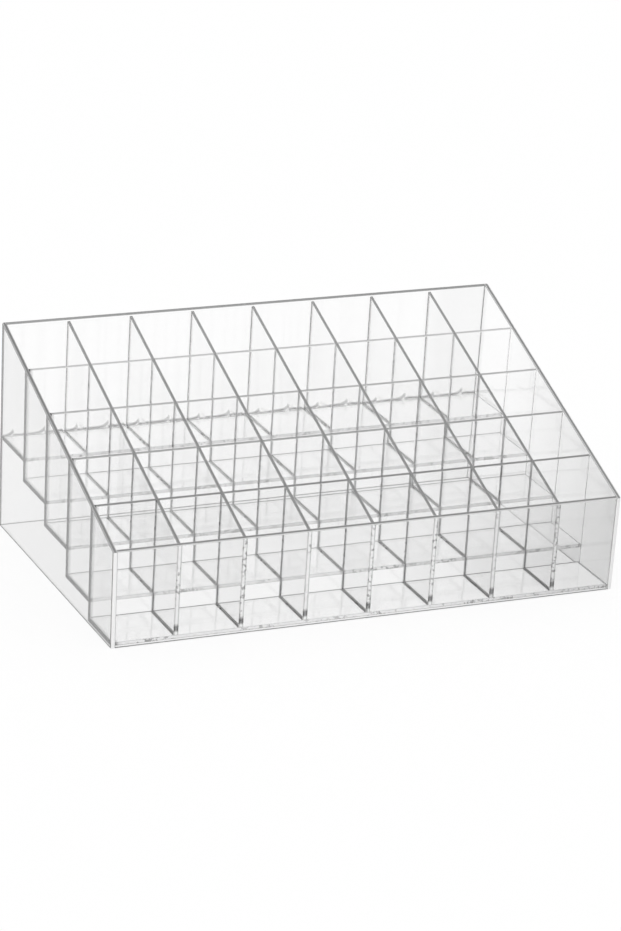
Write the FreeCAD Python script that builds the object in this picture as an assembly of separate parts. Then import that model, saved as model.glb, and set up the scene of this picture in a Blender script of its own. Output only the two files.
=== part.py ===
import FreeCAD, Part
import os

# Clear stepped organizer for a vanity top: forty open compartments in five rows that rise to the back.
#
# Millimetres, with +X to the right, +Y to the back and +Z up. The origin is the middle of the footprint, on
# the table. Rows and cross dividers count from the front, columns and long dividers from the left.
#
# Each wall is its own sheet of clear plastic. The long dividers and the cross dividers are halved into each
# other like an egg crate. They stand on five floors that climb like stairs, and two end panels, a front panel
# and a rear panel close the crate on its four sides. The space under the stairs is open from below.

# Overall size, with the width taken at the rear top corners
overall_width = 225.0
overall_depth = 135.4
front_height = 40.7
rear_height = 90.4

# How far the end panels lean in from the rear top corners down to the table, at each end
end_inset = 1.2

# Compartments: a row's depth is a share of the room for all five, from the front row to the rear one
column_count = 8
row_depth_shares = (0.193, 0.2, 0.2, 0.199, 0.208)
row_count = len(row_depth_shares)

# Sheet thicknesses
outer_sheet = 1.8
divider_sheet = 1.3
floor_sheet = 1.5

# Floors: each floor's rise over the one in front of it is a share of the whole climb
front_floor_top = 2.0
rear_floor_top = 40.2
rise_shares = (0.21, 0.31, 0.25, 0.23)

# Joints: the film of cement between two sheets, the play in a halving slot, and how deep a slot goes
cement_film = 0.05
slot_play = 0.05
halving_share = 0.5

# Edges, and the flares of a long divider: at its foot, and upright against the front panel and the risers
rim_drop = 0.6
corner_radius = 1.0
outer_rim_radius = 0.4
divider_rim_radius = 0.3
foot_radius = 0.6
upright_flare_radius = 0.35
flare_land = 0.1
sheet_round_share = 0.45

# How far a cutting block runs past what it cuts, and how near counts as on a line
cut_overrun = 5.0
on_line = 0.001

# Worked out from the sizes above
front_side = -overall_depth / 2
rear_side = overall_depth / 2
front_inside = front_side + outer_sheet
rear_inside = rear_side - outer_sheet
rim_slope = (rear_height - front_height) / overall_depth
end_lean = end_inset / rear_height
inner_width = overall_width - 2 * outer_sheet
cell_width = (inner_width - (column_count - 1) * divider_sheet) / column_count
rows_depth = rear_inside - front_inside - (row_count - 1) * divider_sheet


def rim_at(y):
    """Height of the sloping rim of the outer panels at this depth."""
    return front_height + rim_slope * (y - front_side)


def divider_rim_at(y):
    """Height of the dividers' rim, a little under the rim of the outer panels."""
    return rim_at(y) - rim_drop


def floor_top(row):
    """Height of the top face of a row's floor."""
    climb = rear_floor_top - front_floor_top
    return front_floor_top + climb * sum(rise_shares[: row - 1])


def outer_x(z):
    """How far the outer face of an end panel lies from the middle at this height."""
    return overall_width / 2 - end_lean * (rear_height - z)


def inner_x(z):
    """How far the inner face of an end panel lies from the middle at this height."""
    return outer_x(z) - outer_sheet


def cross_front(number):
    """Front face of a cross divider."""
    rows_in_front = rows_depth * sum(row_depth_shares[:number])
    return front_inside + rows_in_front + (number - 1) * divider_sheet


def cross_rear(number):
    """Rear face of a cross divider."""
    return cross_front(number) + divider_sheet


def long_left(number):
    """Left face of a long divider, which stands upright."""
    return -inner_width / 2 + number * cell_width + (number - 1) * divider_sheet


def halving_height(number):
    """Where the two slots of a crossing meet, between the floor behind the cross divider and its rim."""
    low = floor_top(number + 1)
    high = divider_rim_at(cross_front(number))
    return low + halving_share * (high - low)


def sheet_round(radius, sheet):
    """A rounding no larger than the sheet can carry on both of its edges."""
    return min(radius, sheet_round_share * sheet)


def upright_sheet(outline, left, thickness):
    """A sheet whose outline is drawn in depth and height, from its left face on to the right."""
    points = [FreeCAD.Vector(left, y, z) for y, z in outline]
    face = Part.Face(Part.makePolygon(points + points[:1]))
    return face.extrude(FreeCAD.Vector(thickness, 0, 0))


def between_ends(outline):
    """A bar between the end panels, less a film of cement at each, from an outline in depth and height."""
    bar = upright_sheet(outline, -overall_width / 2, overall_width)
    low = -cut_overrun
    high = rear_height + cut_overrun
    corners = [
        FreeCAD.Vector(cement_film - inner_x(low), front_side, low),
        FreeCAD.Vector(inner_x(low) - cement_film, front_side, low),
        FreeCAD.Vector(inner_x(high) - cement_film, front_side, high),
        FreeCAD.Vector(cement_film - inner_x(high), front_side, high),
    ]
    room = Part.Face(Part.makePolygon(corners + corners[:1]))
    return bar.common(room.extrude(FreeCAD.Vector(0, overall_depth, 0)))


def block(left, front, bottom, right, rear, top):
    """A rectangular block between two corners."""
    corner = FreeCAD.Vector(left, front, bottom)
    return Part.makeBox(right - left, rear - front, top - bottom, corner)


def edges_of(shape, wanted):
    """The straight edges of a shape whose two ends both pass a test."""
    return [
        edge
        for edge in shape.Edges
        if wanted(edge.Vertexes[0].Point, edge.Vertexes[1].Point)
    ]


def along_depth_on(height_at):
    """Test for an edge that runs front to back in a sloping rim."""
    return lambda a, b: (
        abs(a.z - height_at(a.y)) < on_line
        and abs(b.z - height_at(b.y)) < on_line
        and abs(a.y - b.y) > overall_depth / 2
    )


def along_width_on(height_at):
    """Test for an edge that runs left to right in a sloping rim."""
    return lambda a, b: (
        abs(a.z - height_at(a.y)) < on_line
        and abs(b.z - height_at(b.y)) < on_line
        and abs(a.y - b.y) < on_line
    )


def up_the_outside(a, b):
    """Test for an edge that runs up the outer face of an end panel, at its front or rear."""
    return (
        abs(abs(a.x) - outer_x(a.z)) < on_line
        and abs(abs(b.x) - outer_x(b.z)) < on_line
        and abs(a.y - b.y) < on_line
    )


# End panels: tall trapezoids from the table to the rim, leaning in a little, with rounded outer corners
def end_panel(side):
    outline = [
        (front_side, 0),
        (rear_side, 0),
        (rear_side, rear_height),
        (front_side, front_height),
    ]
    corners = [FreeCAD.Vector(side * outer_x(z), y, z) for y, z in outline]
    face = Part.Face(Part.makePolygon(corners + corners[:1]))
    panel = face.extrude(FreeCAD.Vector(-side * outer_sheet, 0, 0))
    panel = panel.makeFillet(
        sheet_round(corner_radius, outer_sheet), edges_of(panel, up_the_outside)
    )
    rims = edges_of(panel, along_depth_on(rim_at))
    return panel.makeFillet(sheet_round(outer_rim_radius, outer_sheet), rims)


# Front and rear panels: they stand on the table between the end panels
def standing_panel(front, rear):
    outline = [(front, 0), (rear, 0), (rear, rim_at(rear)), (front, rim_at(front))]
    panel = between_ends(outline)
    rims = edges_of(panel, along_width_on(rim_at))
    return panel.makeFillet(sheet_round(outer_rim_radius, outer_sheet), rims)


# Floors: each lies between the end panels and reaches back under the cross divider that stands on it
def floor(row):
    front = front_inside if row == 1 else cross_rear(row - 1)
    rear = rear_inside - cement_film if row == row_count else cross_rear(row)
    front += cement_film
    top = floor_top(row)
    under = top - floor_sheet
    return between_ends([(front, under), (rear, under), (rear, top), (front, top)])


# Cross dividers: they run the whole width, slotted from above for each long divider
def cross_divider(number):
    front = cross_front(number)
    rear = cross_rear(number)
    foot = floor_top(number) + cement_film
    outline = [
        (front, foot),
        (rear, foot),
        (rear, divider_rim_at(rear)),
        (front, divider_rim_at(front)),
    ]
    divider = between_ends(outline)
    rims = edges_of(divider, along_width_on(divider_rim_at))
    divider = divider.makeFillet(sheet_round(divider_rim_radius, divider_sheet), rims)
    for column in range(1, column_count):
        left = long_left(column)
        divider = divider.cut(
            block(
                left - slot_play,
                front - cut_overrun,
                halving_height(number),
                left + divider_sheet + slot_play,
                rear + cut_overrun,
                rear_height + cut_overrun,
            )
        )
    return divider


def cell_span(row):
    """Front and rear end of a long divider's stretch in one row, clear of the sheets there."""
    front = front_inside + cement_film if row == 1 else cross_rear(row - 1) + slot_play
    rear = rear_inside - cement_film if row == row_count else cross_front(row) - slot_play
    return front, rear


def foot_flare(left, row):
    """The widened foot of a long divider in one row: a bar with a hollow fillet along each side."""
    front, rear = cell_span(row)
    bottom = floor_top(row) + cement_film
    top = bottom + flare_land + foot_radius
    right = left + divider_sheet
    bar = block(left - foot_radius, front, bottom, right + foot_radius, rear, top)
    for axis_x in (left - foot_radius, right + foot_radius):
        hollow = Part.makeCylinder(
            foot_radius,
            rear - front + 2 * cut_overrun,
            FreeCAD.Vector(axis_x, front - cut_overrun, top),
            FreeCAD.Vector(0, 1, 0),
        )
        bar = bar.cut(hollow)
    return bar


def upright_flare(left, wall, away, bottom, top):
    """The widened upright edge of a long divider at a wall. Away from the wall is +1 or -1 in depth."""
    end = wall + away * (flare_land + upright_flare_radius)
    right = left + divider_sheet
    outside_left = left - upright_flare_radius
    outside_right = right + upright_flare_radius
    bar = block(outside_left, min(wall, end), bottom, outside_right, max(wall, end), top)
    for axis_x in (outside_left, outside_right):
        hollow = Part.makeCylinder(
            upright_flare_radius,
            top - bottom + 2 * cut_overrun,
            FreeCAD.Vector(axis_x, end, bottom - cut_overrun),
        )
        bar = bar.cut(hollow)
    return bar


def upright_flares(left):
    """The flare along the front panel, and those along the risers between one floor and the next."""
    front_wall = cell_span(1)[0]
    under_rim = divider_rim_at(front_wall) - divider_rim_radius
    flares = [upright_flare(left, front_wall, 1, floor_top(1) + cement_film, under_rim)]
    for row in range(1, row_count):
        riser = cell_span(row)[1]
        flares.append(upright_flare(left, riser, -1, floor_top(row) + cement_film, floor_top(row + 1)))
    return flares


# Long dividers: they run front to back with a stepped lower edge, slotted from below at each step
def long_divider(number):
    left = long_left(number)
    front = front_inside + cement_film
    rear = rear_inside - cement_film
    outline = [(front, divider_rim_at(front))]
    for row in range(1, row_count + 1):
        foot = floor_top(row) + cement_film
        start = front if row == 1 else cross_rear(row - 1)
        stop = rear if row == row_count else cross_rear(row)
        outline += [(start, foot), (stop, foot)]
    outline.append((rear, divider_rim_at(rear)))
    divider = upright_sheet(outline, left, divider_sheet)
    rims = edges_of(divider, along_depth_on(divider_rim_at))
    divider = divider.makeFillet(sheet_round(divider_rim_radius, divider_sheet), rims)
    flares = [foot_flare(left, row) for row in range(1, row_count + 1)]
    for flare in flares + upright_flares(left):
        divider = divider.fuse(flare)
    for cross in range(1, row_count):
        divider = divider.cut(
            block(
                left - cut_overrun,
                cross_front(cross) - slot_play,
                -cut_overrun,
                left + divider_sheet + cut_overrun,
                cross_rear(cross) + slot_play,
                halving_height(cross) + slot_play,
            )
        )
    return divider.removeSplitter()


os.makedirs("parts", exist_ok=True)

pieces = {
    "end_panel_left": end_panel(-1),
    "end_panel_right": end_panel(1),
    "front_panel": standing_panel(front_side, front_inside),
    "rear_panel": standing_panel(rear_inside, rear_side),
}
for row in range(1, row_count + 1):
    pieces[f"floor_{row}"] = floor(row)
for number in range(1, row_count):
    pieces[f"cross_divider_{number}"] = cross_divider(number)
for number in range(1, column_count):
    pieces[f"long_divider_{number}"] = long_divider(number)

for node, shape in pieces.items():
    shape.exportStep(os.path.join("parts", node + ".step"))
    print(node, len(shape.Solids), "solid", round(shape.Volume, 1), "mm3", shape.isValid())
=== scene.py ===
import math

import bpy
from mathutils import Matrix, Vector


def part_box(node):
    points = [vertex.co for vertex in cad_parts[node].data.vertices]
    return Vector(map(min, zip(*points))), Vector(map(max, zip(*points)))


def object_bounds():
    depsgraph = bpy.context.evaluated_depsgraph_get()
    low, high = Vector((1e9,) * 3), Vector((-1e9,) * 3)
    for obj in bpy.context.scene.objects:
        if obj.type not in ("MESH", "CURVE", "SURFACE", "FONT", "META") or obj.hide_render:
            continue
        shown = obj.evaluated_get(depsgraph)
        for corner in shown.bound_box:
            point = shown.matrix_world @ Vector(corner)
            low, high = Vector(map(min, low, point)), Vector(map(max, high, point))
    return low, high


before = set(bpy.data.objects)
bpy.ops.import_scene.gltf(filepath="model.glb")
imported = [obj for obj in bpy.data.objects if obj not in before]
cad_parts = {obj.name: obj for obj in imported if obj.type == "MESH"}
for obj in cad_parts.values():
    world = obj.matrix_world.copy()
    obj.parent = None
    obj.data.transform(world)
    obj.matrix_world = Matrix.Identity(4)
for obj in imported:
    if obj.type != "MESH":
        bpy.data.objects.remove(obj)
cad_low, cad_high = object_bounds()

MM = 0.001

# Camera, as fitted to the organizer's rims and outline. Angles in degrees.
AZIMUTH = -24.807
ELEVATION = 20.849
ROLL = 3.591
DISTANCE = 1501.2 * MM
AIM = Vector((1.214, 0.0, 40.631)) * MM
FOCAL_PX = 3604.5
LONG_SIDE_PX = 931
SENSOR = 36.0
CLIP_START = 50 * MM
CLIP_END = 20000 * MM

# The organizer's axes: +X to the right, +Y to the rear and +Z up
WIDTH, DEPTH, HEIGHT = 0, 1, 2


def sheet_thickness(name, axis):
    low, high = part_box(name)
    return high[axis] - low[axis]


OUTER_SHEET = sheet_thickness("front_panel", DEPTH)
DIVIDER_SHEET = sheet_thickness("cross_divider_1", DEPTH)
FLOOR_SHEET = sheet_thickness("floor_1", HEIGHT)

# The inner faces of the outer panels. The end panels lean outward: theirs are END_INSIDE to each side of the
# middle at the foot, and move out by END_LEAN times the height.
FRONT_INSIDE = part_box("front_panel")[1].y
REAR_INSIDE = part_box("rear_panel")[0].y
END_LOW, END_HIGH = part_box("end_panel_right")
END_INSIDE = END_LOW.x
END_LEAN = (END_HIGH.x - END_LOW.x - OUTER_SHEET) / (END_HIGH.z - END_LOW.z)

# Sockets of a Mix node, which has a pair of inputs for each kind of value, and an output for each
NUMBER_A, NUMBER_B = 2, 3
COLOUR_A, COLOUR_B = 6, 7
MIXED_COLOUR = 2


def add_camera():
    az = math.radians(AZIMUTH)
    el = math.radians(ELEVATION)
    roll = math.radians(ROLL)
    back = Vector((math.sin(az) * math.cos(el), -math.cos(az) * math.cos(el), math.sin(el)))
    right = Vector((math.cos(az), math.sin(az), 0.0))
    up = back.cross(right)
    x_axis = math.cos(roll) * right + math.sin(roll) * up
    y_axis = math.cos(roll) * up - math.sin(roll) * right
    turn = Matrix((x_axis, y_axis, back)).transposed().to_4x4()
    data = bpy.data.cameras.new("camera")
    data.sensor_width = SENSOR
    data.lens = FOCAL_PX * SENSOR / LONG_SIDE_PX
    data.clip_start = CLIP_START
    data.clip_end = CLIP_END
    camera = bpy.data.objects.new("camera", data)
    camera.matrix_world = Matrix.Translation(AIM + back * DISTANCE) @ turn
    bpy.context.scene.collection.objects.link(camera)
    bpy.context.scene.camera = camera


def linear(code):
    """A hex sRGB colour as linear RGBA."""
    channels = [int(code[i : i + 2], 16) / 255 for i in (1, 3, 5)]
    return [c / 12.92 if c <= 0.04045 else ((c + 0.055) / 1.055) ** 2.4 for c in channels] + [1.0]


def node(tree, kind, links=None, values=None, **settings):
    """Adds a node, sets its properties and the values of its inputs, and links what feeds it.

    What feeds an input is a socket, or a node, which stands for its first output.
    """
    new = tree.nodes.new(kind)
    for name, value in settings.items():
        setattr(new, name, value)
    for name, value in (values or {}).items():
        new.inputs[name].default_value = value
    for name, source in (links or {}).items():
        socket = source.outputs[0] if isinstance(source, bpy.types.Node) else source
        tree.links.new(socket, new.inputs[name])
    return new


def new_material(name):
    material = bpy.data.materials.new(name)
    material.use_nodes = True
    material.node_tree.nodes.clear()
    return material


# Cast acrylic sheet. It was cast between glass plates, so its broad faces are glossy and clear, and wavy by
# a few hundredths of a millimetre, which makes the lines behind them waver. Its edges were sawn and then
# cemented, so they are matt. The even grey of their lines, the rims' above all, is painted shade in their
# colour.
ACRYLIC_IOR = 1.49

# How far the faces bulge and sink, drawn as bump, and the length of one wave
FACE_WAVE = 0.03 * MM
FACE_WAVE_LENGTH = 20 * MM

# Clarity is how much light goes through, and at a gloss of 0.5 the surface reflects what its IOR gives
FACE_CLARITY = 1.0
EDGE_CLARITY = 0.3
FACE_GLOSS = 0.5
EDGE_GLOSS = 0.0
EDGE_ROUGHNESS = 0.4

# The core of an edge is this share of the sheet's thickness. Beside it is a line, full from LINE_SHARE on,
# which is painted shade along the edge's corners, and on the right end panel's front edge a painted
# highlight.
CORE_SHARE = 0.7
LINE_SHARE = 0.85

# Painted shade by depth: most sheets are greyer at the front and paler towards the rear, with stronger marks
# at the front, and the end panels' edges are darker at the rear. The front colours fade into the rear ones
# up to this depth
FADE_END = 40 * MM

# Bubbles and dry spots in the cement, about this long, which come in crowds. They begin where the noise that
# draws them passes START, and are full at FULL. Between the crowds a share of them is left.
MARK_COLOUR = "#404040"
MARK_LENGTH = 2.0 * MM
MARK_DETAIL = 2.0
MARK_ROUGHNESS = 0.6
MARK_START, MARK_FULL = 0.50, 0.62
CROWD_LENGTH = 18 * MM
CROWD_START, CROWD_FULL = 0.42, 0.56
LONE_MARKS = 0.15

# The detail of noise that makes smooth waves
SMOOTH = 1.0

# The cement that ran out where the rear floor meets the rear panel, as a bead on the panel. It starts a bit
# under the floor's top, wavers by BEAD_WAVE in all and rises to the right by BEAD_RISE in each column. Each
# column also has hooks, whose tips are BEAD_CLIMB high. The hooks are painted shade, the crossing lines
# behind as the sheets refract them, not cement. Most of a hook's climb is in its last BEAD_CLIMB_REACH, and
# the hooks are shifted to the left by a share of their width.
BEAD_HEIGHT = -0.3 * MM
BEAD_WAVE = 1.2 * MM
BEAD_WAVE_LENGTH = 9.0 * MM
BEAD_RISE = 0.7 * MM
BEAD_HOOKS = 2
BEAD_HOOK_SHIFT = 0.46
BEAD_CLIMB = 2.0 * MM
BEAD_CLIMB_REACH = 1.3 * MM

# Limits of the zones: what is measured, where the zone starts and where it is full. First, how a surface
# faces. A broad face has a squareness of 1 to the sheet, and an edge has less.
IS_EDGE = ("squareness", 0.98, 0.8)
IS_UP = ("up", 0.3, 0.6)
IS_DOWN = ("up", -0.3, -0.6)
IS_FRONT = ("rearward", -0.3, -0.6)

# Painted shade: a sheet is dark where it meets the left end panel, and its face beside that is greyer. Its
# right end is clear.
AT_LEFT_END = ("from_left", 0.7 * MM, 0.4 * MM)
BY_LEFT_END = ("from_left", 2.0 * MM, 0.3 * MM)
AT_RIGHT_END = ("from_right", 0.7 * MM, 0.4 * MM)

# Painted shade: some faces are greyer over the columns at the right, or in the last one
TO_THE_RIGHT = ("from_right", 90 * MM, 10 * MM)
IN_LAST_COLUMN = ("from_right", 26 * MM, 20 * MM)

# The second floor's top is 10 mm up. The riser under it and the front row have the darkest edges, in painted
# shade.
UNDER_SECOND_FLOOR = ("height", 11 * MM, 9 * MM)
ON_LOWEST_RISER = ("height", 12 * MM, 9 * MM)
IN_FRONT_ROW = ("depth", -36 * MM, -38 * MM)

# Where a sheet meets the front panel or the rear panel, and the face that the cement clouds beside the rear
AT_FRONT = ("depth", FRONT_INSIDE + 0.4 * MM, FRONT_INSIDE + 0.2 * MM)
AT_REAR = ("depth", REAR_INSIDE - 1.9 * MM, REAR_INSIDE - 0.9 * MM)
BY_REAR = ("depth", REAR_INSIDE - 1.5 * MM, REAR_INSIDE - 0.7 * MM)

# A darker spot low on the front end of each long divider
UNDER_SPOT_TOP = ("height", 7.0 * MM, 5.5 * MM)
OVER_SPOT_FOOT = ("height", 3.0 * MM, 4.0 * MM)

# The flares of cement stand out from a divider's faces, and only those along its foot look up
ON_FLARE = ("off_centre", DIVIDER_SHEET / 2 + 0.02 * MM, DIVIDER_SHEET / 2 + 0.05 * MM)
ON_FOOT = ("up", 0.1, 0.2)

# The rounded sides of an outer panel's rim, which are paler as a painted highlight, and the bead of cement
# with its painted hooks
RIM_SIDES = ("off_centre", 0.3 * MM, 0.6 * MM)
ON_BEAD = ("from_bead", 0.65 * MM, 0.25 * MM)


def zone(limits, core, line=None, clarity=EDGE_CLARITY, gloss=EDGE_GLOSS, marks=(0.0, 0.0)):
    """A part of a sheet that lies where all its limits hold, and its look.

    The colours of its core and line, and the strength of its marks, are for the front and for the rear. One
    colour alone is for both.
    """
    core, line = (pair if isinstance(pair, tuple) else (pair, pair) for pair in (core, line or core))
    return {
        "limits": limits,
        "core": core,
        "line": line,
        "clarity": clarity,
        "gloss": gloss,
        "marks": marks,
    }


# A finish has the axis that is square to the sheet, the sheet's thickness, the colours of its faces at the
# front and at the rear, and its zones, each drawn over the ones before it.
# Where a face's or a zone's front and rear colours differ, the difference is painted shade.
LONG_DIVIDER = {
    "axis": WIDTH,
    "thickness": DIVIDER_SHEET,
    "face": ("#F3F3F3", "#FBFBFB"),
    "zones": [
        # Slots and ends, darkest low in the front row by painted shade, and the ends against the rear panel
        zone([IS_EDGE], ("#C4C4C4", "#FFFFFF"), clarity=0.1, marks=(0.9, 0.4)),
        zone([IS_EDGE, UNDER_SECOND_FLOOR, IN_FRONT_ROW], "#404040", clarity=0.0, marks=(0.5, 0.5)),
        zone([IS_EDGE, AT_REAR], "#A8A8A8", marks=(0.5, 0.5)),
        # The stepped lower edge, the clouded face beside the rear panel, and the rim
        zone([IS_EDGE, IS_DOWN], ("#707070", "#F8F8F8"), marks=(1.0, 0.8)),
        zone([BY_REAR], "#B4B4B4", clarity=FACE_CLARITY),
        zone([IS_EDGE, IS_UP], ("#A0A0A0", "#A4A4A4"), gloss=FACE_GLOSS),
        # The flares of cement, upright and along the foot
        zone([IS_EDGE, ON_FLARE], ("#D0D0D0", "#F0F0F0")),
        zone([IS_EDGE, ON_FLARE, ON_FOOT], ("#808080", "#FFFFFF"), marks=(1.0, 0.8)),
        # The end against the front panel, drawn opaque white as painted light, and the darker spot on it
        zone([IS_FRONT, AT_FRONT], "#FFFFFF", line="#D4D4D4", clarity=0.0, marks=(0.6, 0.6)),
        zone(
            [IS_FRONT, AT_FRONT, UNDER_SPOT_TOP, OVER_SPOT_FOOT],
            "#909090",
            line="#606060",
            clarity=0.0,
            marks=(0.9, 0.9),
        ),
    ],
}
CROSS_DIVIDER = {
    "axis": DEPTH,
    "thickness": DIVIDER_SHEET,
    "face": ("#FCFCFC", "#FFFFFF"),
    "zones": [
        # Painted shade: the lowest riser's faces are greyer over the columns at the right
        zone([ON_LOWEST_RISER, TO_THE_RIGHT], "#EEEEEE", clarity=FACE_CLARITY, gloss=FACE_GLOSS),
        zone([IS_EDGE], ("#C4C4C4", "#FFFFFF"), marks=(0.9, 0.4)),
        # Painted shade: the edges under the second floor are dark
        zone([IS_EDGE, UNDER_SECOND_FLOOR], "#404040", clarity=0.0, marks=(0.5, 0.5)),
        zone([IS_EDGE, IS_DOWN], ("#E0E0E0", "#F0F0F0"), marks=(0.6, 0.3)),
        zone([IS_EDGE, AT_RIGHT_END], "#F8F8F8", clarity=0.7, marks=(0.5, 0.3)),
        zone([IS_EDGE, IS_UP], ("#727272", "#D2D2D2"), gloss=FACE_GLOSS),
        # Painted shade beside the left end panel, and where the sheet meets it
        zone([BY_LEFT_END], "#B0B0B0", clarity=FACE_CLARITY),
        zone([AT_LEFT_END], ("#282828", "#404040"), clarity=0.5),
    ],
}
FLOOR = {
    "axis": HEIGHT,
    "thickness": FLOOR_SHEET,
    "face": ("#FCFCFC", "#FEFEFE"),
    "zones": [
        zone([IS_EDGE], "#FFFFFF", line=("#C4C4C4", "#FFFFFF"), clarity=0.0, marks=(0.6, 0.4)),
        zone([IS_EDGE, AT_REAR], "#FFFFFF", clarity=0.8),
        zone([IS_EDGE, AT_RIGHT_END], "#FFFFFF", clarity=0.7),
        # Painted shade beside the left end panel, and where the sheet meets it
        zone([BY_LEFT_END], ("#A0A0A0", "#A8A8A8"), clarity=FACE_CLARITY),
        zone([AT_LEFT_END], ("#282828", "#404040"), clarity=0.5),
    ],
}
FRONT_PANEL = {
    "axis": DEPTH,
    "thickness": OUTER_SHEET,
    "face": ("#FCFCFC", "#FCFCFC"),
    "zones": [
        # Painted shade: the faces are greyer over the columns at the right
        zone([TO_THE_RIGHT], "#ECECEC", clarity=FACE_CLARITY, gloss=FACE_GLOSS),
        zone([IS_EDGE], "#FFFFFF", line="#D8D8D8"),
        zone([IS_EDGE, AT_RIGHT_END], "#FFFFFF", clarity=0.8),
        zone([IS_EDGE, IS_UP], "#909090", gloss=FACE_GLOSS),
        # Painted highlight: the rim's sides are paler
        zone([IS_EDGE, IS_UP, RIM_SIDES], "#E0E0E0", gloss=FACE_GLOSS),
    ],
}
REAR_PANEL = {
    "axis": DEPTH,
    "thickness": OUTER_SHEET,
    "face": ("#FFFFFF", "#FFFFFF"),
    "zones": [
        # Painted shade: the faces are greyer in the last column
        zone([IN_LAST_COLUMN], "#F8F8F8", clarity=FACE_CLARITY, gloss=FACE_GLOSS),
        # The bead of cement, and its hooks, which are painted shade
        zone([IS_FRONT, ON_BEAD], "#888888", clarity=FACE_CLARITY, gloss=FACE_GLOSS),
        zone([IS_EDGE], "#E0E0E0", line="#B0B0B0"),
        zone([IS_EDGE, IS_UP], "#9C9C9C", gloss=FACE_GLOSS),
    ],
}
LEFT_END_PANEL = {
    "axis": WIDTH,
    "thickness": OUTER_SHEET,
    "face": ("#EAEAEA", "#F0F0F0"),
    "zones": [
        zone([IS_EDGE], ("#FFFFFF", "#989898"), line=("#C8C8C8", "#909090"), clarity=0.1, gloss=FACE_GLOSS),
        zone([IS_EDGE, IS_DOWN], "#FFFFFF"),
        zone([IS_EDGE, IS_UP], ("#9C9C9C", "#949494"), gloss=FACE_GLOSS),
        # Painted highlight: the rim's sides are paler
        zone([IS_EDGE, IS_UP, RIM_SIDES], "#D0D0D0", gloss=FACE_GLOSS),
    ],
}
# The same sheet as the left end panel, with other painted shade: its faces are greyer at the front and white
# at the rear
RIGHT_END_PANEL = {
    "axis": WIDTH,
    "thickness": OUTER_SHEET,
    "face": ("#E0E0E0", "#FFFFFF"),
    "zones": [
        zone([IS_EDGE], ("#F0F0F0", "#A8A8A8"), line=("#FFFFFF", "#A0A0A0"), clarity=0.1, gloss=FACE_GLOSS),
        zone([IS_EDGE, IS_DOWN], "#FFFFFF"),
        zone([IS_EDGE, IS_UP], ("#A0A0A0", "#9C9C9C"), gloss=FACE_GLOSS),
        # Painted highlight: the rim's sides are paler
        zone([IS_EDGE, IS_UP, RIM_SIDES], "#E8E8E8", gloss=FACE_GLOSS),
    ],
}

# Which finish a sheet gets, by how its name starts
FINISHES = {
    "end_panel_left": LEFT_END_PANEL,
    "end_panel_right": RIGHT_END_PANEL,
    "front_panel": FRONT_PANEL,
    "rear_panel": REAR_PANEL,
    "floor": FLOOR,
    "cross_divider": CROSS_DIVIDER,
    "long_divider": LONG_DIVIDER,
}

# The studio floor reaches this far from the organizer, a hair below it. It shines white by this share, and
# the rest of it is matt and takes the shadow.
FLOOR_REACH = 6000 * MM
FLOOR_DROP = 0.1 * MM
FLOOR_WHITE = 0.9

# The studio is white, but in the sheets' gloss and through them its ceiling is grey, which shades the rims.
# The height of a direction is 0 level and 1 straight up.
CEILING_START, CEILING_FULL = 0.35, 0.75
CEILING_LIGHT = 0.35

# Light passes through dozens of sheets' faces on its way to the eye
CLEAR_BOUNCES = 64
GLOSSY_BOUNCES = 32


def bead_distance(tree, place, position):
    """How far a point of the rear panel is from the bead of cement along its foot and its painted hooks."""
    first, second = (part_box("long_divider_" + number)[0].x for number in "12")
    pitch = second - first
    column = node(
        tree,
        "ShaderNodeMath",
        {0: position.outputs["X"]},
        {1: 1 / pitch, 2: -first / pitch},
        operation="MULTIPLY_ADD",
    )
    across = node(tree, "ShaderNodeMath", {0: column}, operation="FRACT")

    # A hook's climb falls off by the same share over each reach before its tip, and so does its slope
    hooks = node(
        tree, "ShaderNodeMath", {0: column}, {1: BEAD_HOOKS, 2: BEAD_HOOK_SHIFT}, operation="MULTIPLY_ADD"
    )
    hook = node(tree, "ShaderNodeMath", {0: hooks}, operation="FRACT")
    reaches = pitch / BEAD_HOOKS / BEAD_CLIMB_REACH
    from_tip = node(tree, "ShaderNodeMath", {0: hook}, {1: reaches, 2: -reaches}, operation="MULTIPLY_ADD")
    climb_share = node(tree, "ShaderNodeMath", {0: from_tip}, operation="EXPONENT")
    climb = node(tree, "ShaderNodeMath", {0: climb_share}, {1: BEAD_CLIMB}, operation="MULTIPLY")
    slope = node(
        tree, "ShaderNodeMath", {0: climb_share}, {1: BEAD_CLIMB / BEAD_CLIMB_REACH}, operation="MULTIPLY"
    )

    # The height of the bead at this point across the panel
    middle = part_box("floor_5")[1].z + BEAD_HEIGHT
    ripple = node(
        tree, "ShaderNodeTexNoise", {"Vector": place}, {"Scale": 1 / BEAD_WAVE_LENGTH, "Detail": SMOOTH}
    )
    wave = node(
        tree,
        "ShaderNodeMapRange",
        {"Value": ripple},
        {"To Min": middle - BEAD_WAVE / 2, "To Max": middle + BEAD_WAVE / 2},
    )
    climbing = node(tree, "ShaderNodeMath", {0: wave, 1: climb}, operation="ADD")
    bead = node(tree, "ShaderNodeMath", {0: across, 2: climbing}, {1: BEAD_RISE}, operation="MULTIPLY_ADD")

    # Straight up or down to the bead is further than to its nearest point, by how steep the bead is
    above = node(tree, "ShaderNodeMath", {0: position.outputs["Z"], 1: bead}, operation="SUBTRACT")
    upright = node(tree, "ShaderNodeMath", {0: above}, operation="ABSOLUTE")
    stretch = node(tree, "ShaderNodeMath", {0: slope, 1: slope}, {2: 1.0}, operation="MULTIPLY_ADD")
    stretch = node(tree, "ShaderNodeMath", {0: stretch}, operation="SQRT")
    return node(tree, "ShaderNodeMath", {0: upright, 1: stretch}, operation="DIVIDE")


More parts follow.
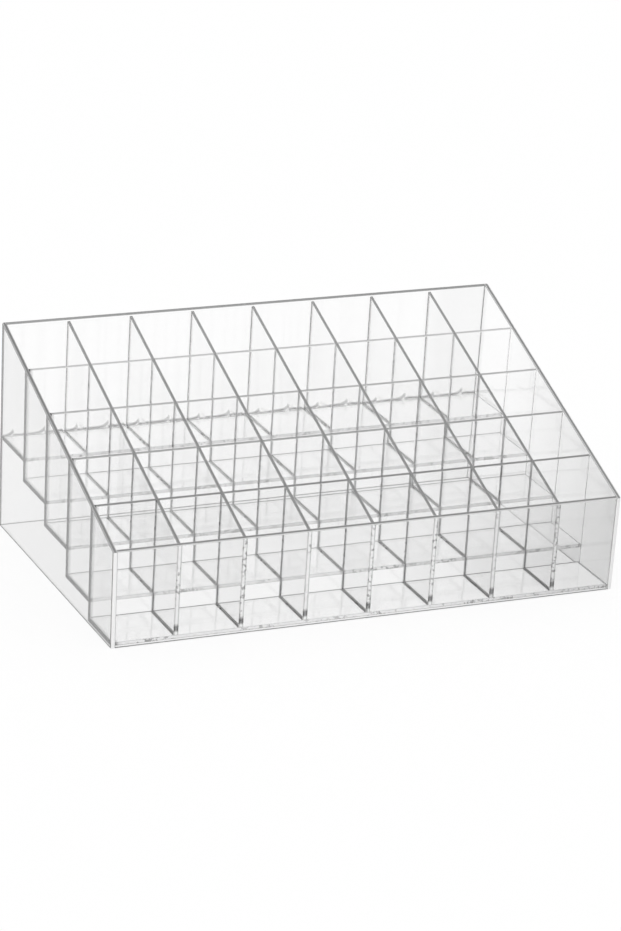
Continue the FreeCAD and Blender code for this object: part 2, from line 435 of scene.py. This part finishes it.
def middle_plane(name, finish):
    """Where the middle of a sheet's thickness is at the table, and how far it moves with height."""
    low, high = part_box(name)
    if not name.startswith("end_panel"):
        return (low[finish["axis"]] + high[finish["axis"]]) / 2, 0.0
    side = math.copysign(1.0, low.x)
    return side * (END_INSIDE + finish["thickness"] / 2), side * END_LEAN


def sheet_measures(tree, place, name, finish):
    """What the limits measure at a point of a sheet: how it faces and where it lies."""
    position = node(tree, "ShaderNodeSeparateXYZ", {"Vector": place})
    x, y, z = position.outputs
    geometry = node(tree, "ShaderNodeNewGeometry")
    facing = node(tree, "ShaderNodeSeparateXYZ", {"Vector": geometry.outputs["True Normal"]})
    squareness = node(tree, "ShaderNodeMath", {0: facing.outputs[finish["axis"]]}, operation="ABSOLUTE")

    middle, lean = middle_plane(name, finish)
    plane = node(tree, "ShaderNodeMath", {0: z}, {1: lean, 2: middle}, operation="MULTIPLY_ADD")
    offset = node(
        tree, "ShaderNodeMath", {0: position.outputs[finish["axis"]], 1: plane}, operation="SUBTRACT"
    )
    # How far the end panels' inner faces are from the middle, at this height
    inside = node(tree, "ShaderNodeMath", {0: z}, {1: END_LEAN, 2: END_INSIDE}, operation="MULTIPLY_ADD")
    measures = {
        "squareness": squareness,
        "rearward": facing.outputs["Y"],
        "up": facing.outputs["Z"],
        "from_left": node(tree, "ShaderNodeMath", {0: x, 1: inside}, operation="ADD"),
        "from_right": node(tree, "ShaderNodeMath", {0: inside, 1: x}, operation="SUBTRACT"),
        "depth": y,
        "height": z,
        "off_centre": node(tree, "ShaderNodeMath", {0: offset}, operation="ABSOLUTE"),
    }
    if name == "rear_panel":
        measures["from_bead"] = bead_distance(tree, place, position)
    return measures


def cement_marks(tree, place):
    """How strong the bubbles and dry spots in the cement are at a point, from 0 to 1."""
    speckle = node(
        tree,
        "ShaderNodeTexNoise",
        {"Vector": place},
        {"Scale": 1 / MARK_LENGTH, "Detail": MARK_DETAIL, "Roughness": MARK_ROUGHNESS},
    )
    spots = node(
        tree, "ShaderNodeMapRange", {"Value": speckle}, {"From Min": MARK_START, "From Max": MARK_FULL}
    )
    crowding = node(
        tree, "ShaderNodeTexNoise", {"Vector": place}, {"Scale": 1 / CROWD_LENGTH, "Detail": SMOOTH}
    )
    crowds = node(
        tree,
        "ShaderNodeMapRange",
        {"Value": crowding},
        {"From Min": CROWD_START, "From Max": CROWD_FULL, "To Min": LONE_MARKS},
    )
    return node(tree, "ShaderNodeMath", {0: spots, 1: crowds}, operation="MULTIPLY")


def zone_share(tree, limits, measures):
    """How much a point is in a zone, from 0 to 1: the product of how much it is within each limit."""
    share = None
    for measured, start, full in limits:
        within = node(
            tree, "ShaderNodeMapRange", {"Value": measures[measured]}, {"From Min": start, "From Max": full}
        )
        if share:
            within = node(tree, "ShaderNodeMath", {0: share, 1: within}, operation="MULTIPLY")
        share = within
    return share


def zone_colour(tree, look, rear_share, line_share, marks):
    """The colour of a zone: its core, its line and the marks in its cement."""
    core, line = (
        node(
            tree,
            "ShaderNodeMix",
            {"Factor": rear_share},
            {COLOUR_A: linear(front), COLOUR_B: linear(rear)},
            data_type="RGBA",
        ).outputs[MIXED_COLOUR]
        for front, rear in (look["core"], look["line"])
    )
    edge = node(
        tree, "ShaderNodeMix", {"Factor": line_share, COLOUR_A: core, COLOUR_B: line}, data_type="RGBA"
    ).outputs[MIXED_COLOUR]
    front_marks, rear_marks = look["marks"]
    strength = node(
        tree, "ShaderNodeMapRange", {"Value": rear_share}, {"To Min": front_marks, "To Max": rear_marks}
    )
    marked = node(tree, "ShaderNodeMath", {0: marks, 1: strength}, operation="MULTIPLY")
    return node(
        tree,
        "ShaderNodeMix",
        {"Factor": marked, COLOUR_A: edge},
        {COLOUR_B: linear(MARK_COLOUR)},
        data_type="RGBA",
    ).outputs[MIXED_COLOUR]


def clear_acrylic(name, finish):
    """Clear cast acrylic for one sheet, with its faces, sawn edges and cement."""
    material = new_material("clear_acrylic_" + name)
    tree = material.node_tree
    place = node(tree, "ShaderNodeTexCoord").outputs["Object"]
    measures = sheet_measures(tree, place, name, finish)
    marks = cement_marks(tree, place)
    # Painted shade by depth: how far the colours have faded from the front ones to the rear ones
    rear_share = node(
        tree,
        "ShaderNodeMapRange",
        {"Value": measures["depth"]},
        {"From Min": cad_low.y, "From Max": FADE_END},
    )
    half = finish["thickness"] / 2
    line_share = node(
        tree,
        "ShaderNodeMapRange",
        {"Value": measures["off_centre"]},
        {"From Min": CORE_SHARE * half, "From Max": LINE_SHARE * half},
    )

    front, rear = finish["face"]
    tint = node(
        tree,
        "ShaderNodeMix",
        {"Factor": rear_share},
        {COLOUR_A: linear(front), COLOUR_B: linear(rear)},
        data_type="RGBA",
    ).outputs[MIXED_COLOUR]
    mixed = {}
    for look in finish["zones"]:
        share = zone_share(tree, look["limits"], measures)
        colour = zone_colour(tree, look, rear_share, line_share, marks)
        tint = node(
            tree, "ShaderNodeMix", {"Factor": share, COLOUR_A: tint, COLOUR_B: colour}, data_type="RGBA"
        ).outputs[MIXED_COLOUR]
        for value, on_faces in (("clarity", FACE_CLARITY), ("gloss", FACE_GLOSS)):
            links = {"Factor": share, NUMBER_A: mixed[value]} if value in mixed else {"Factor": share}
            mixed[value] = node(
                tree, "ShaderNodeMix", links, {NUMBER_A: on_faces, NUMBER_B: look[value]}, data_type="FLOAT"
            )

    sawn = zone_share(tree, [IS_EDGE], measures)
    rough = node(tree, "ShaderNodeMapRange", {"Value": sawn}, {"To Max": EDGE_ROUGHNESS})
    swell = node(
        tree, "ShaderNodeTexNoise", {"Vector": place}, {"Scale": 1 / FACE_WAVE_LENGTH, "Detail": SMOOTH}
    )
    bulge = node(tree, "ShaderNodeBump", {"Height": swell}, {"Strength": 1.0, "Distance": FACE_WAVE})
    shader = node(
        tree,
        "ShaderNodeBsdfPrincipled",
        {
            "Base Color": tint,
            "Roughness": rough,
            "Transmission Weight": mixed["clarity"],
            "Specular IOR Level": mixed["gloss"],
            "Normal": bulge,
        },
        {"IOR": ACRYLIC_IOR},
    )
    node(tree, "ShaderNodeOutputMaterial", {"Surface": shader})
    return material


def add_floor():
    mesh = bpy.data.meshes.new("floor")
    corners = [(x * FLOOR_REACH, y * FLOOR_REACH, 0) for x, y in ((-1, -1), (1, -1), (1, 1), (-1, 1))]
    mesh.from_pydata(corners, [], [(0, 1, 2, 3)])
    floor = bpy.data.objects.new("floor", mesh)
    floor.location = (0, 0, -FLOOR_DROP)
    bpy.context.scene.collection.objects.link(floor)
    material = new_material("pale_studio_floor")
    tree = material.node_tree
    path = node(tree, "ShaderNodeLightPath")
    shown = node(
        tree,
        "ShaderNodeMath",
        {0: path.outputs["Is Camera Ray"], 1: path.outputs["Is Transmission Ray"]},
        operation="MAXIMUM",
    )
    shown = node(tree, "ShaderNodeMath", {0: shown, 1: path.outputs["Is Glossy Ray"]}, operation="MAXIMUM")
    share = node(tree, "ShaderNodeMath", {0: shown}, {1: FLOOR_WHITE}, operation="MULTIPLY")
    matt = node(tree, "ShaderNodeBsdfDiffuse", values={"Color": linear("#FFFFFF")})
    white = node(tree, "ShaderNodeEmission", values={"Color": linear("#FFFFFF"), "Strength": 1.0})
    mix = node(tree, "ShaderNodeMixShader", {0: share, 1: matt, 2: white})
    node(tree, "ShaderNodeOutputMaterial", {"Surface": mix})
    mesh.materials.append(material)


def add_world():
    world = bpy.data.worlds.new("white_studio")
    world.use_nodes = True
    tree = world.node_tree
    tree.nodes.clear()
    direction = node(tree, "ShaderNodeTexCoord").outputs["Generated"]
    height = node(tree, "ShaderNodeSeparateXYZ", {"Vector": direction}).outputs["Z"]
    ceiling = node(
        tree,
        "ShaderNodeMapRange",
        {"Value": height},
        {"From Min": CEILING_START, "From Max": CEILING_FULL, "To Min": 1.0, "To Max": CEILING_LIGHT},
    )
    path = node(tree, "ShaderNodeLightPath")
    plain = node(
        tree,
        "ShaderNodeMath",
        {0: path.outputs["Is Camera Ray"], 1: path.outputs["Is Diffuse Ray"]},
        operation="MAXIMUM",
    )
    strength = node(
        tree, "ShaderNodeMix", {"Factor": plain, NUMBER_A: ceiling}, {NUMBER_B: 1.0}, data_type="FLOAT"
    )
    background = node(tree, "ShaderNodeBackground", {"Strength": strength}, {"Color": linear("#FFFFFF")})
    node(tree, "ShaderNodeOutputWorld", {"Surface": background})
    bpy.context.scene.world = world


add_camera()
add_world()
add_floor()

for name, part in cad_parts.items():
    for kind, finish in FINISHES.items():
        if name.startswith(kind):
            part.data.materials.clear()
            part.data.materials.append(clear_acrylic(name, finish))

scene = bpy.context.scene
scene.view_settings.view_transform = "Standard"
# Edges that are seen through other sheets stay sharp only without the softening of such light
scene.cycles.blur_glossy = 0.0
scene.cycles.max_bounces = CLEAR_BOUNCES
scene.cycles.transmission_bounces = CLEAR_BOUNCES
scene.cycles.transparent_max_bounces = CLEAR_BOUNCES
scene.cycles.glossy_bounces = GLOSSY_BOUNCES
